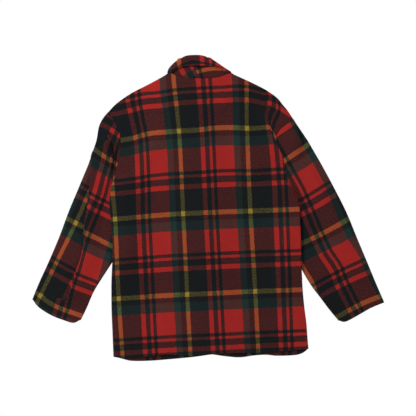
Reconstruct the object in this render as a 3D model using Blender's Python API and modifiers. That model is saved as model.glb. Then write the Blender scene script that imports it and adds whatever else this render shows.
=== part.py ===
# Plaid wool jacket laid flat on its front, back up: +Y towards the collar, +Z up from the surface.
# Sizes are in millimetres here and become metres when a mesh is made.
import math

import bpy
import numpy as np

MM = 0.001

# The tables below measure from the neck's middle line; this puts the middle of the whole outline at 0, 0
MOVE_X = 12.23
MOVE_Y = -1.42

# Cloth and layers
CLOTH = 2.6
SLIT = 1.0
SEAM = 0.3
EDGE_GAP = 0.75
ARMHOLE_GAP = 2.8
LOW = CLOTH / 2
HIGH = LOW + CLOTH + SLIT
ROUND = (HIGH - LOW) / 2
LAYER = CLOTH + 0.9

# Buttons on the hidden front
BUTTON_DIAMETER = 22.0
BUTTON_THICK = 3.2
BUTTON_X = -8.0
BUTTON_Y = (150.0, 35.0, -80.0, -195.0)
PLACKET_LIFT = BUTTON_THICK + SEAM
PLACKET_HALF = 16.0
LEFT_FRONT_EDGE = 14.0
RIGHT_FRONT_EDGE = -30.0

# Collar: two layers of cloth on each side of a middle surface
COLLAR_OFFSET = CLOTH / 2 + SEAM / 2
FOLD_RADIUS = 3.2
FALL_LOW = CLOTH + SEAM / 2
STAND_LOW = FALL_LOW + 2 * FOLD_RADIUS
STAND_HIGH = STAND_LOW + 2 * COLLAR_OFFSET + CLOTH + 0.6
FALL_HIGH = STAND_HIGH + 2 * FOLD_RADIUS
COLLAR_LIFT = FALL_LOW + COLLAR_OFFSET + CLOTH + 0.5 - LOW
NECK_RISE = STAND_HIGH + COLLAR_OFFSET - HIGH - COLLAR_LIFT

# Places on the laid jacket: x, y
SIDE_LEFT = (
    (-274.6, -387.5), (-273.8, -322), (-273, -257), (-269.6, -192), (-263.8, -133),
    (-260.5, -85), (-261.6, -20), (-263, 20), (-257, 66), (-248, 98.5),
)
SIDE_RIGHT = (
    (249.8, -393.5), (248.6, -366), (247.8, -325), (244.8, -285), (242.2, -236),
    (242, -184), (244, -114), (245, -47), (245, -4), (237, 18), (226, 43), (218, 60),
)
ARMHOLE_LEFT = (
    (-248, 98.5), (-238.5, 126), (-231, 148), (-227, 172),
    (-226, 194), (-227.5, 216), (-245, 256), (-253.5, 272.5),
)
ARMHOLE_RIGHT = (
    (218, 60), (214, 92), (209, 122), (200, 150), (193, 168), (194, 183),
    (202, 197), (215, 210), (228, 220), (240, 229),
)
SHOULDER_LEFT = (
    (-253.5, 272.5), (-234, 291), (-212, 306), (-187, 320.5), (-154, 335), (-121, 349.5), (-90.5, 365),
)
SHOULDER_RIGHT = (
    (82, 356.5), (121.5, 337), (155.5, 319), (180.5, 303),
    (203, 284), (214.5, 267.7), (227, 251), (240, 229),
)
NECK_SIDES = ((-90.5, 365), (82, 356.5))
NECK_SHARES = (-0.86, -0.66, -0.42, -0.15, 0.15, 0.42, 0.66, 0.86)
NECK_GAP = 1.9
HEM_BACK = (
    (-274.6, -387.5), (-252, -392), (-184, -392), (-132, -388.5), (-71, -396.5), (-8, -394),
    (52, -394), (124, -398), (200, -395.5), (249.8, -393.5),
)
HEM_FRONT_LEFT = (
    (-274.6, -387.5), (-250, -395), (-230, -401), (-180, -403.5), (-133, -402.5), (-71, -400), (-30, -396.5),
    (14, -391),
)
HEM_FRONT_RIGHT = (
    (-30, -391), (-8, -394.5), (29, -402), (66, -407), (104, -404), (137, -404), (163, -408), (218, -408.5),
    (237, -403), (249.8, -393.5),
)
OUTER_LEFT = (
    (-266, 260), (-276.5, 245), (-282.7, 229.5), (-289.8, 198), (-302.3, 166.5), (-315, 134.5),
    (-330, 103), (-345, 71.5), (-375.5, 8), (-403, -55.5), (-433.5, -118.5), (-466.5, -182), (-485, -221.5),
)
OUTER_RIGHT = (
    (247, 217.5), (257, 200.5), (277, 167), (294, 134), (311, 100.7), (342.5, 34),
    (371.5, -32), (395, -98.5), (418.7, -164.5), (442.2, -230.5), (460.5, -279.5),
)
INNER_LEFT = (
    (-261.4, 66), (-261, 44), (-250, 8), (-244, -30), (-247, -80),
    (-261, -122), (-286, -159), (-319, -206), (-343.3, -254), (-359.5, -283),
)
INNER_RIGHT = (
    (232.5, 40), (233, 12), (225, -20), (221, -60), (225, -115),
    (237, -160), (267, -221), (289.5, -254.5), (312, -288), (336.5, -321),
)
CUFF_LEFT = (
    (-485, -221.5), (-474, -239), (-455, -255), (-432, -269.5),
    (-405, -281.5), (-378, -290.5), (-359.5, -283),
)
CUFF_RIGHT = ((460.5, -279.5), (426, -291.5), (393, -308), (363, -322.5), (349, -326), (336.5, -321))
FOLD_LINE_LEFT = (
    (-305, 168), (-307, 150), (-309, 118), (-311, 97), (-316, 67), (-322.5, 31),
    (-329, -6), (-336, -44), (-343, -98), (-360, -147), (-378, -190),
)
FOLD_LINE_RIGHT = ((243, 228), (246, 214), (250, 202), (256, 181), (265, 156), (275, 126), (286, 95))

# Where the body's side lies on the sleeve: y of the underarm, full, full, and down on the surface again,
# and how far in the sleeve's edge reaches below it
LAP_LEFT = {"y": (112, 80, -150, -235), "reach": 22.0}
LAP_RIGHT = {"y": (68, 38, -200, -280), "reach": 26.0}

# Soft ridges and troughs of the laid cloth: place, half length, half width, direction in degrees, height
RELIEF_COLUMNS = ("x", "y", "long", "wide", "turn", "height")
BACK_RELIEF = (
    (-150, 150, 130, 34, 62, 2.4),
    (120, 120, 120, 30, 112, 2.0),
    (-205, -60, 140, 26, 92, 2.2),
    (170, -90, 150, 30, 86, 2.0),
    (-120, -330, 80, 36, 84, 1.8),
    (60, -340, 90, 34, 96, 1.6),
    (-20, 300, 60, 24, 4, 1.4),
    (196, 30, 60, 20, 66, 2.2),
    (178, 204, 58, 13, 107, 3.4),
)
SLEEVE_RELIEF_LEFT = (
    (-262, 190, 60, 15, 80, 3.4),
    (-300, 20, 90, 18, 66, 2.6),
    (-385, -120, 110, 22, 64, 2.4),
    (-395, -215, 50, 24, 60, 2.4),
)
SLEEVE_RELIEF_RIGHT = (
    (240, 150, 70, 17, 116, 4.6),
    (300, 40, 100, 20, 114, 3.0),
    (330, -90, 100, 24, 112, 2.6),
    (390, -205, 70, 26, 112, 2.4),
)

# Collar rings, left and right at the silhouette, then the middle of the back and the ends at the front
RINGS = {
    "seam": {
        "left": (-81.4, 367.6), "right": (75.0, 359.6), "back": 349.4, "power": 3.5,
        "front_left": ((-82, 338), (-62, 296), (-6, 275.8)),
        "front_right": ((75, 334), (54, 294), (-2, 275.8)),
    },
    "top": {
        "left": (-52.0, 399.0), "right": (26.0, 397.5), "back": 405.6, "power": 4,
        "front_left": ((-48, 362), (-37, 325), (-6, 300)),
        "front_right": ((24, 358), (21, 322), (-2, 300)),
    },
    "edge": {
        "left": (-88.0, 369.0), "right": (81.6, 361.0), "back": 382.5, "power": 4,
        "front_left": ((-90, 330), (-90, 285), (-72, 236)),
        "front_right": ((84, 324), (84, 282), (64, 236)),
    },
}


def curve(points, tension=0.5):
    """A smooth run through the points, as lengths along it from 0 to 1 and the places."""
    p = np.array(points, float)
    ends = np.vstack([2 * p[0] - p[1], p, 2 * p[-1] - p[-2]])
    places = [p[0]]
    for k in range(1, len(ends) - 2):
        a, b, c, d = ends[k - 1 : k + 3]
        span = np.linalg.norm(c - b)
        m0 = tension * (c - a) * span / max(1e-6, (np.linalg.norm(b - a) + span) / 2)
        m1 = tension * (d - b) * span / max(1e-6, (np.linalg.norm(d - c) + span) / 2)
        for t in np.linspace(0, 1, 9)[1:]:
            places.append(
                (2 * t**3 - 3 * t**2 + 1) * b + (t**3 - 2 * t**2 + t) * m0
                + (3 * t**2 - 2 * t**3) * c + (t**3 - t**2) * m1
            )
    places = np.array(places)
    steps = np.concatenate([[0], np.cumsum(np.linalg.norm(np.diff(places, axis=0), axis=1))])
    return steps / steps[-1], places


def on(run, t):
    return np.array([np.interp(t, run[0], run[1][:, k]) for k in range(run[1].shape[1])])


def soft(t):
    t = min(1.0, max(0.0, t))
    return t * t * (3 - 2 * t)


def coons(low, high, first, last, u, v):
    """A patch between four runs: low and high along u, first and last along v."""
    corner = (1 - u) * (1 - v) * low(0) + u * (1 - v) * low(1) + (1 - u) * v * high(0) + u * v * high(1)
    return (1 - v) * low(u) + v * high(u) + (1 - u) * first(v) + u * last(v) - corner


def relief(table, x, y):
    total = 0.0
    for values in table:
        row = dict(zip(RELIEF_COLUMNS, values))
        turn = math.radians(row["turn"])
        dx = x - row["x"]
        dy = y - row["y"]
        along = (dx * math.cos(turn) + dy * math.sin(turn)) / row["long"]
        across = (dy * math.cos(turn) - dx * math.sin(turn)) / row["wide"]
        total += row["height"] * math.exp(-(along**2) * 1.6 - across**2 * 1.6)
    return total


def across_back(row, part, radius):
    """A collar ring's place across the back, from -1 at its left to 1 at its right."""
    (lx, ly), (rx, ry) = row["left"], row["right"]
    base = ly + (ry - ly) * (part + 1) / 2
    y = base + (row["back"] - (ly + ry) / 2) * (1 - abs(part) ** row["power"])
    return (lx + rx) / 2 + ((rx - lx) / 2 - radius) * part, y


def neck_places():
    """The back's neck edge: it follows the collar's seam, a little below it."""
    places = [across_back(RINGS["seam"], part, (STAND_HIGH - STAND_LOW) / 2) for part in NECK_SHARES]
    return [NECK_SIDES[0]] + [(x, y - NECK_GAP) for x, y in places] + [NECK_SIDES[1]]


side_left = curve(SIDE_LEFT)
side_right = curve(SIDE_RIGHT)
armhole_left = curve(ARMHOLE_LEFT)
armhole_right = curve(ARMHOLE_RIGHT)
shoulder_left = curve(SHOULDER_LEFT)
shoulder_right = curve(SHOULDER_RIGHT)
neck_back = curve(neck_places())
hem_back = curve(HEM_BACK)
hem_front_left = curve(HEM_FRONT_LEFT)
hem_front_right = curve(HEM_FRONT_RIGHT)


def lap_lift(x, y, side, lap, sign):
    """How high the body's side lies where the sleeve's edge is tucked below it."""
    top, full, low, down = lap["y"]
    along = soft((top - y) / (top - full)) * soft((y - down) / (low - down))
    if along <= 0:
        return 0.0
    places = side[1]
    edge = np.interp(y, places[:, 1], places[:, 0])
    inward = sign * (edge - x)
    return (2 * CLOTH + SLIT + 0.5) * along * soft(1 - (inward - lap["reach"] - 5) / 60)


def lap_lifts(x, y):
    return lap_lift(x, y, side_left, LAP_LEFT, -1) + lap_lift(x, y, side_right, LAP_RIGHT, 1)


def body_lift(x, y):
    placket = PLACKET_LIFT * soft(1 - (abs(x - BUTTON_X) - PLACKET_HALF) / 75)
    out = max(0.0, abs(x + 4) - 94, 232 - y)
    collar = COLLAR_LIFT * soft(1 - (out - 4) / 70)
    return lap_lifts(x, y) + max(placket, collar) + 0.15 * min(placket, collar)


def front_height(x, y, right):
    height = LOW + body_lift(x, y)
    if right:
        height += LAYER * soft(1 - (x - LEFT_FRONT_EDGE - 4) / 60)
    return height


def back_height(x, y):
    height = HIGH + body_lift(x, y) + 0.5 * lap_lifts(x, y)
    lap = LAYER * soft(1 - (x - LEFT_FRONT_EDGE - 4) / 60) * soft(1 - (RIGHT_FRONT_EDGE - 4 - x) / 70)
    rise = NECK_RISE * soft((1.6 - math.hypot((x + 4) / 88, (y - 364) / 92)) / 0.5)
    return height + max(lap, rise) + 0.2 * min(lap, rise) + relief(BACK_RELIEF, x, y)


# An edge turns towards its seam in four steps: how far in from the edge, and how far turned
TURN_STEPS = ((0.0, 1.0), (0.12, 0.6), (0.6, 0.2), (ROUND, 0.0))


# Rows run from the hem to the top of the shoulder; the underarm is at row value UNDERARM
UNDERARM = 0.66
ROWS = [0, 0.012] + [UNDERARM * k / 15 for k in range(1, 15)]
ROWS += [UNDERARM - 0.012, UNDERARM, UNDERARM + 0.015]
ROWS += [UNDERARM + (1 - UNDERARM) * k / 8 for k in range(1, 8)]
ROWS = [(v, 0.0) for v in ROWS] + [(1 - inset / 620, turned) for inset, turned in TURN_STEPS[::-1]]


def side_run(side, armhole):
    def run(v):
        if v <= UNDERARM:
            return on(side, v / UNDERARM)
        return on(armhole, (v - UNDERARM) / (1 - UNDERARM))
    return run


left_run = side_run(side_left, armhole_left)
right_run = side_run(side_right, armhole_right)


def side_curl(v):
    return soft((UNDERARM + 0.03 - v) / 0.03)


def panel(columns, low, high, first, last, height, other, curl_first, curl_last, shoulder):
    """A panel's grid: columns are (u, turned); edges turn half way to the panel it is sewn to."""
    rows = []
    for v, top in ROWS:
        row = []
        for u, turned in columns:
            x, y = coons(low, high, first, last, u, v)
            z = height(x, y)
            if (u < 0.5 and not curl_first) or (u > 0.5 and not curl_last):
                turned = 0.0
            turned = max(turned * side_curl(v), shoulder(u) * top)
            if turned:
                seam = (z + other(x, y)) / 2
                seam += EDGE_GAP / 2 if z > seam else -EDGE_GAP / 2
                z += (seam - z) * turned
            row.append((x, y, z))
        rows.append(row)
    return rows


def remove_all():
    for obj in list(bpy.data.objects):
        bpy.data.objects.remove(obj, do_unlink=True)


def material(name, colour, roughness):
    slot = bpy.data.materials.new(name)
    slot.use_nodes = True
    shader = slot.node_tree.nodes["Principled BSDF"]
    shader.inputs["Base Color"].default_value = (*colour, 1)
    shader.inputs["Roughness"].default_value = roughness
    shader.inputs["Metallic"].default_value = 0
    return slot


def edge_columns(width):
    return [(inset / width, turned) for inset, turned in TURN_STEPS]


def shell(name, rows, closed, slot, collection, outward_up=True, towards=0):
    """A cloth wall: the grid as an open surface, thickened to both sides, or to one."""
    count = len(rows[0])
    points = [((x + MOVE_X) * MM, (y + MOVE_Y) * MM, z * MM) for row in rows for x, y, z in row]
    faces = []
    for j in range(len(rows) - 1):
        for i in range(count if closed else count - 1):
            a = j * count + i
            b = j * count + (i + 1) % count
            face = (a, b, b + count, a + count)
            faces.append(face if outward_up else face[::-1])
    mesh = bpy.data.meshes.new(name)
    mesh.from_pydata(points, [], faces)
    mesh.validate()
    obj = bpy.data.objects.new(name, mesh)
    collection.objects.link(obj)
    obj.data.materials.append(slot)
    wall = obj.modifiers.new("Cloth", "SOLIDIFY")
    wall.thickness = CLOTH * MM
    wall.offset = towards
    wall.use_rim = True
    wall.use_quality_normals = True
    return obj


# Sleeve sections
SLEEVE_ROWS = [0, 0.03, 0.075, 0.125] + [0.125 + 0.875 * k / 15 for k in range(1, 15)] + [0.985, 1]
ARC = (90, 45, 0, -45, -90)
UPPER_PARTS = (0.12, 0.28, 0.46, 0.66, 0.86)
FOLD_ARC = 5.4

# A sleeve's fold: y at which it starts, grows, ends and fades, how far it turns in degrees, its level part,
# the share of the width at which it lies outside that stretch, and how far the cloth beyond it slopes down
FOLD_LEFT = {
    "start": 175, "grow": 55, "end": -190, "fade": 110,
    "turn": 172, "straight": 12.0, "near": 0.2, "slope": 62,
}
FOLD_RIGHT = {
    "start": 172, "grow": 36, "end": 78, "fade": 50,
    "turn": 150, "straight": 3.0, "near": 0.12, "slope": 45,
}


def fold_steps(turn, level_part):
    """The path of a Z-fold from its foot: turn up, go back along a level part, turn level again."""
    places = [(0.0, 0.0)]
    heading = 0.0
    x = 0.0
    z = 0.0
    radius = FOLD_ARC / turn
    for sign, parts in ((1, 3), (0, 1), (-1, 3)):
        for _ in range(parts):
            if sign:
                half = turn / parts / 2
                step = 2 * radius * math.sin(half)
                heading += sign * half
                x += step * math.cos(heading)
                z += step * math.sin(heading)
                heading += sign * half
            else:
                x += level_part * math.cos(heading)
                z += level_part * math.sin(heading)
            places.append((x, z))
    return places


def crossing(place, line):
    """How far along a row, as a fraction, a line passes."""
    fractions = np.linspace(0, 1, 61)
    across = np.array([place(fraction) for fraction in fractions])
    nearest = np.linalg.norm(across[:, None] - line[1][None], axis=2).min(axis=1)
    return fractions[nearest.argmin()]


def sleeve(armhole, outer, inner, cuff, fold_line, fold, table, sign):
    """Closed sections from the armhole to the cuff; the upper run goes from the outer edge inwards."""
    armhole_run = curve(np.array(armhole) + (sign * ARMHOLE_GAP, 0))
    outer_run = curve([armhole_run[1][-1], *outer])
    inner_run = curve([armhole_run[1][0], *inner])
    cuff_run = curve(cuff)
    line = curve(fold_line)
    rows = []
    for v in SLEEVE_ROWS:
        def place(u):
            return coons(
                lambda t: on(armhole_run, 1 - t), lambda t: on(cuff_run, t),
                lambda t: on(outer_run, t), lambda t: on(inner_run, t), u, v,
            )
        outer_place = place(0)
        width = np.linalg.norm(place(1) - outer_place)
        y = place(0.5)[1]
        amount = soft((fold["start"] - y) / fold["grow"]) * soft((y - fold["end"]) / fold["fade"])
        turn = max(0.12, math.radians(fold["turn"]) * amount)
        steps = fold_steps(turn, 1.5 + fold["straight"] * soft((math.degrees(turn) - 110) / 50))
        top = steps[-1][1]
        edge_fraction = fold["near"] + (crossing(place, line) - fold["near"]) * soft(amount * 3)
        left_most = min(step[0] for step in steps[3:])
        foot = edge_fraction * width - left_most
        foot = max(foot, ROUND + 4)
        section = []
        for angle in ARC[:0:-1]:
            turn_angle = math.radians(angle)
            across = ROUND * (1 - math.cos(turn_angle))
            section.append((across, (LOW + HIGH) / 2 + ROUND * math.sin(turn_angle)))
        section.append((ROUND, HIGH))
        section.append((ROUND + (foot - ROUND) * 0.5, HIGH))
        for dx, dz in steps:
            section.append((foot + dx, HIGH + dz))
        last = foot + steps[-1][0]
        for part in UPPER_PARTS:
            at = last + (width - ROUND - last) * part
            section.append((at, HIGH + top * soft(1 - (at - last) / fold["slope"])))
        for angle in ARC:
            turn_angle = math.radians(angle)
            across = width - ROUND * (1 - math.cos(turn_angle))
            section.append((across, (LOW + HIGH) / 2 + ROUND * math.sin(turn_angle)))
        for part in (0.8, 0.6, 0.4, 0.2):
            section.append((width * part, LOW))
        row = []
        for across, z in section:
            x, y = place(across / width)
            if z >= HIGH - 0.01:
                inside = soft((across - ROUND) / 9) * soft((width - ROUND - across) / 30)
                z += relief(table, x, y) * min(1.0, v / 0.06) * inside
            row.append((x, y, z))
        rows.append(row)
    return rows


# Collar sections
STAND_LEVELS = (0, 0.34, 0.68, 1)
FALL_LEVELS = (0.3, 0.62, 1)
TURNS = (-45, 0, 45, 90)
FRONT_PARTS = (1, 0.86, 0.68, 0.46, 0.22, 0)
BACK_PARTS = (-1, -0.86, -0.66, -0.42, -0.15, 0.15, 0.42, 0.66, 0.86, 1)
CORNER = (-60, -30, 0, 30, 60)


def front_runs(row, radius):
    (lx, ly), (rx, ry) = row["left"], row["right"]
    starts = {"front_left": (lx + radius, ly), "front_right": (rx - radius, ry)}
    return {key: curve((starts[key],) + row[key]) for key in starts}


def ring(row, low, high):
    """A flattened ring: front end, round the left, across the back, round the right, front end."""
    middle = (low + high) / 2
    radius = (high - low) / 2
    places = []
    (lx, ly), (rx, ry) = row["left"], row["right"]
    fronts = front_runs(row, radius)
    for part in FRONT_PARTS[:-1]:
        x, y = on(fronts["front_left"], part)
        places.append((x, y, low))
    places.append((lx + radius, ly, low))
    for angle in CORNER:
        turn = math.radians(angle)
        places.append((lx + radius * (1 - math.cos(turn)), ly, middle + radius * math.sin(turn)))
    for part in BACK_PARTS:
        places.append((*across_back(row, part, radius), high))
    for angle in CORNER[::-1]:
        turn = math.radians(angle)
        places.append((rx - radius * (1 - math.cos(turn)), ry, middle + radius * math.sin(turn)))
    places.append((rx - radius, ry, low))
    for part in FRONT_PARTS[-2::-1]:
        x, y = on(fronts["front_right"], part)
        places.append((x, y, low))
    return np.array(places)


def grid_normals(grid):
    along = np.gradient(grid, axis=1)
    across = np.gradient(grid, axis=0)
    normal = np.cross(along, across)
    return normal / np.linalg.norm(normal, axis=2, keepdims=True)


def collar():
    seam = ring(RINGS["seam"], STAND_LOW, STAND_HIGH)
    top = ring(RINGS["top"], STAND_LOW, STAND_HIGH)
    edge = ring(RINGS["edge"], FALL_LOW, FALL_HIGH)
    middle_x = (seam[:, 0].min() + seam[:, 0].max()) / 2
    stand = []
    for level in STAND_LEVELS:
        loop = seam + (top - seam) * level
        side = np.sign(loop[:, 0] - middle_x) * np.abs((seam[:, 0] - middle_x) / 84) ** 6
        loop[:, 0] += 4.0 * math.sin(math.pi * level) * side
        stand.append(loop)
    stand = np.array(stand)
    outward = grid_normals(stand)[-1]
    up = stand[-1] - stand[-2]
    up -= outward * (up * outward).sum(axis=1, keepdims=True)
    up /= np.linalg.norm(up, axis=1, keepdims=True)
    levels = list(stand)
    for angle in TURNS:
        turn = math.radians(angle)
        rise = up * FOLD_RADIUS * math.cos(turn)
        levels.append(stand[-1] + rise + outward * FOLD_RADIUS * (1 + math.sin(turn)))
    start = levels[-1]
    for level in FALL_LEVELS:
        loop = start + (edge - start) * level
        side = np.sign(loop[:, 0] - middle_x) * np.abs((edge[:, 0] - middle_x) / 86) ** 6
        loop[:, 0] += 4.0 * math.sin(math.pi * level) * side
        levels.append(loop)
    return np.array(levels)


def halves(grid):
    """The grid cut in two at its middle column, a seam apart."""
    half = grid.shape[1] // 2
    middle = (grid[:, half - 1] + grid[:, half]) / 2
    step = grid[:, half] - grid[:, half - 1]
    step *= SEAM / 2 / np.linalg.norm(step, axis=1, keepdims=True)
    left = np.concatenate([grid[:, :half], (middle - step)[:, None]], axis=1)
    right = np.concatenate([(middle + step)[:, None], grid[:, half:]], axis=1)
    return left, right


def main():
    remove_all()
    collection = bpy.data.collections.new("jacket")
    bpy.context.scene.collection.children.link(collection)
    wool = material("plaid_wool", (0.13, 0.03, 0.03), 0.95)
    horn = material("button_plastic", (0.03, 0.02, 0.02), 0.4)

    # Back panel: neck between the side-neck columns, shoulders outside them
    neck_first, neck_last = 0.379, 0.776
    edge = edge_columns(500)
    left_columns = edge + [(u, 0.0) for u in (0.03, 0.085, 0.15, 0.225, 0.302)]
    middle_columns = [(neck_first + (neck_last - neck_first) * k / 6, 0.0) for k in range(7)]
    right_shares = (0.806, 0.838, 0.872, 0.906, 0.94, 0.972)
    right_columns = [(u, 0.0) for u in right_shares] + [(1 - u, turned) for u, turned in edge[::-1]]

    def back_top(u):
        if u < neck_first:
            return on(shoulder_left, u / neck_first)
        if u <= neck_last:
            return on(neck_back, (u - neck_first) / (neck_last - neck_first))
        return on(shoulder_right, (u - neck_last) / (1 - neck_last))

    def back_shoulder(u):
        return 0.0 if neck_first < u < neck_last else 1.0

    back = panel(
        left_columns + middle_columns + right_columns,
        lambda u: on(hem_back, u), back_top, left_run, right_run, back_height,
        lambda x, y: front_height(x, y, x > BUTTON_X), True, True, back_shoulder,
    )
    shell("back", back, False, wool, collection)

    # Front panels: from the side seam to an edge past the middle
    side_neck = 0.62
    neck_columns = [(side_neck + (1 - side_neck) * k / 6, 0.0) for k in range(7)]
    along_left = [(side_neck * u / neck_first, 0.0) for u, turned in left_columns[4:]]
    along_right = [(side_neck * (1 - u) / (1 - neck_last), 0.0) for u in right_shares[::-1]]

    def neckline(name, side, edge_x, out):
        """The collar's own seam places, moved out to the panel, and on past the middle."""
        seam = front_runs(RINGS["seam"], (STAND_HIGH - STAND_LOW) / 2)[name]
        places = [side]
        for part in FRONT_PARTS[-2::-1]:
            x, y = on(seam, part)
            places.append((x + out * 2.3, y - 1.7))
        places.append((edge_x, places[-1][1]))
        return np.linspace(0, 1, 7), np.array(places, float)

    neck_left = neckline("front_left", (-90.5, 365), LEFT_FRONT_EDGE, -1)
    neck_right = neckline("front_right", (82, 356.5), RIGHT_FRONT_EDGE, 1)

    def front_shoulder(u):
        return 1.0 if u <= side_neck else 0.0

    def left_top(u):
        if u <= side_neck:
            return on(shoulder_left, u / side_neck)
        return on(neck_left, (u - side_neck) / (1 - side_neck))

    def right_top(u):
        if u <= side_neck:
            return on(shoulder_right, 1 - u / side_neck)
        return on(neck_right, (u - side_neck) / (1 - side_neck))

    def straight(run_low, run_high):
        return lambda v: run_low + (run_high - run_low) * v

    front_left = panel(
        edge_columns(260) + along_left + neck_columns,
        lambda u: on(hem_front_left, u), left_top, left_run,
        straight(on(hem_front_left, 1), on(neck_left, 1)),
        lambda x, y: front_height(x, y, False), back_height, True, False, front_shoulder,
    )
    shell("front_left", front_left, False, wool, collection, outward_up=False)
    front_right = panel(
        edge_columns(260) + along_right + neck_columns,
        lambda u: on(hem_front_right, 1 - u), right_top, right_run,
        straight(on(hem_front_right, 0), on(neck_right, 1)),
        lambda x, y: front_height(x, y, True), back_height, True, False, front_shoulder,
    )
    shell("front_right", front_right, False, wool, collection)

    left_sleeve = sleeve(
        ARMHOLE_LEFT, OUTER_LEFT, INNER_LEFT, CUFF_LEFT, FOLD_LINE_LEFT, FOLD_LEFT,
        SLEEVE_RELIEF_LEFT, -1,
    )
    shell("sleeve_left", left_sleeve, True, wool, collection, outward_up=False)
    right_sleeve = sleeve(
        ARMHOLE_RIGHT, OUTER_RIGHT, INNER_RIGHT, CUFF_RIGHT, FOLD_LINE_RIGHT, FOLD_RIGHT,
        SLEEVE_RELIEF_RIGHT, 1,
    )
    shell("sleeve_right", right_sleeve, True, wool, collection)

    middle = collar()
    outward = grid_normals(middle)
    for name, half in zip(("under_collar_left", "under_collar_right"), halves(middle + outward * SEAM / 2)):
        shell(name, half.tolist(), False, wool, collection, towards=1)
    shell("top_collar", (middle - outward * SEAM / 2).tolist(), False, wool, collection, towards=-1)

    for number, y in enumerate(BUTTON_Y, 1):
        bpy.ops.mesh.primitive_cylinder_add(
            vertices=24, radius=BUTTON_DIAMETER / 2 * MM, depth=BUTTON_THICK * MM,
            location=((BUTTON_X + MOVE_X) * MM, (y + MOVE_Y) * MM, BUTTON_THICK / 2 * MM),
        )
        button = bpy.context.object
        button.name = f"button_{number}"
        button.data.materials.append(horn)
        for owner in list(button.users_collection):
            owner.objects.unlink(button)
        collection.objects.link(button)


main()
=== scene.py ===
# Plaid wool jacket laid flat with its back up, photographed from straight above
import math

import bpy
import numpy as np
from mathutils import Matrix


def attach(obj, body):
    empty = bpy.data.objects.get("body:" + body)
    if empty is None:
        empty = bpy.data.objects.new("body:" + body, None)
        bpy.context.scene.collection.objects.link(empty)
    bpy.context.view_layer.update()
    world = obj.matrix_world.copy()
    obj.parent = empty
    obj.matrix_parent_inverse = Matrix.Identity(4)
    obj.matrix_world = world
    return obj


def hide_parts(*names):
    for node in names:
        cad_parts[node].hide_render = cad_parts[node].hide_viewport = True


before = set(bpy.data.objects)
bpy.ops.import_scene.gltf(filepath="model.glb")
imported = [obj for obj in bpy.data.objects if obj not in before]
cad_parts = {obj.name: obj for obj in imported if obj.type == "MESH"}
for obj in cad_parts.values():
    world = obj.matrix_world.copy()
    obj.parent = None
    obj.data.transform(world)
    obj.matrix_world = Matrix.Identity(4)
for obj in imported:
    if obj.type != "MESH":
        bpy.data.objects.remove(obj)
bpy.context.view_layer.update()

MM = 0.001
MOVE_X = 12.23
MOVE_Y = -1.42

# Cloth and layers, as in the part
CLOTH = 2.6
SLIT = 1.0
SEAM = 0.3
EDGE_GAP = 0.45
LOW = CLOTH / 2
HIGH = LOW + CLOTH + SLIT
ROUND = (HIGH - LOW) / 2
LAYER = CLOTH + 0.9
ARMHOLE_GAP = 0.5
RIM = 0.7
THREAD = 0.9
BUTTON_THREAD = 0.35

# Buttons on the hidden front
BUTTON_DIAMETER = 22.0
BUTTON_THICK = 3.2
BUTTON_X = -8.0
BUTTON_Y = (150.0, 35.0, -80.0, -195.0)
PLACKET_LIFT = BUTTON_THICK + SEAM
PLACKET_HALF = 16.0
LEFT_FRONT_EDGE = 14.0
RIGHT_FRONT_EDGE = -30.0

# Collar: two layers of cloth on each side of a middle surface
COLLAR_OFFSET = CLOTH / 2 + SEAM / 2
FOLD_RADIUS = 3.2
FALL_LOW = CLOTH + SEAM / 2
STAND_LOW = FALL_LOW + 2 * FOLD_RADIUS
STAND_HIGH = STAND_LOW + 2 * COLLAR_OFFSET + CLOTH + 0.6
FALL_HIGH = STAND_HIGH + 2 * FOLD_RADIUS
COLLAR_LIFT = FALL_LOW + COLLAR_OFFSET + CLOTH + 0.5 - LOW
NECK_RISE = STAND_HIGH + COLLAR_OFFSET - HIGH - COLLAR_LIFT

# The woven check: where each warp and weft stripe starts, in millimetres from the middle of the yellow one
WARP = (
    (0.0, "yellow"), (5.5, "black"), (55.2, "red"), (67.6, "black"), (80.0, "red"),
    (86.8, "black"), (96.5, "red"), (146.2, "green"), (163.5, "black"), (177.9, "yellow"),
)
WARP_REPEAT = 183.4
WEFT = (
    (0.0, "yellow"), (6.1, "black"), (64.1, "red"), (76.8, "black"), (94.1, "red"),
    (101.4, "black"), (110.8, "red"), (172.4, "green"), (197.8, "black"), (211.8, "yellow"),
)
WEFT_REPEAT = 217.9
YARN = {
    "red": (0.325, 0.0172, 0.0150),
    "black": (0.0068, 0.0084, 0.0096),
    "green": (0.0110, 0.0300, 0.0265),
    "yellow": (0.270, 0.180, 0.024),
}

# Places on the laid jacket: x, y
SIDE_LEFT = (
    (-274.6, -387.5), (-273.8, -322), (-273, -257), (-269.6, -192), (-263.8, -133),
    (-260.5, -85), (-261.6, -20), (-263, 20), (-257, 66), (-248, 98.5),
)
SIDE_RIGHT = (
    (249.8, -393.5), (248.6, -366), (247.8, -325), (244.8, -285), (242.2, -236),
    (242, -184), (244, -114), (245, -47), (245, -4), (237, 18), (226, 43), (218, 60),
)
ARMHOLE_LEFT = (
    (-248, 98.5), (-238.5, 126), (-231, 148), (-227, 172),
    (-226, 194), (-227.5, 216), (-245, 256), (-253.5, 272.5),
)
ARMHOLE_RIGHT = (
    (218, 60), (214, 92), (209, 122), (200, 150), (193, 168), (194, 183),
    (202, 197), (215, 210), (228, 220), (240, 229),
)
SHOULDER_LEFT = (
    (-253.5, 272.5), (-234, 291), (-212, 306), (-187, 320.5),
    (-154, 335), (-121, 349.5), (-96, 361.5), (-88, 366.9),
)
SHOULDER_RIGHT = (
    (81.3, 358.9), (89, 353.2), (121.5, 337), (155.5, 319), (180.5, 303),
    (203, 284), (214.5, 267.7), (227, 251), (240, 229),
)
NECK_SIDES = ((-88, 366.9), (81.3, 358.9))
NECK_SHARES = (-0.86, -0.66, -0.42, -0.15, 0.15, 0.42, 0.66, 0.86)
NECK_GAP = 0.8
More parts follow.
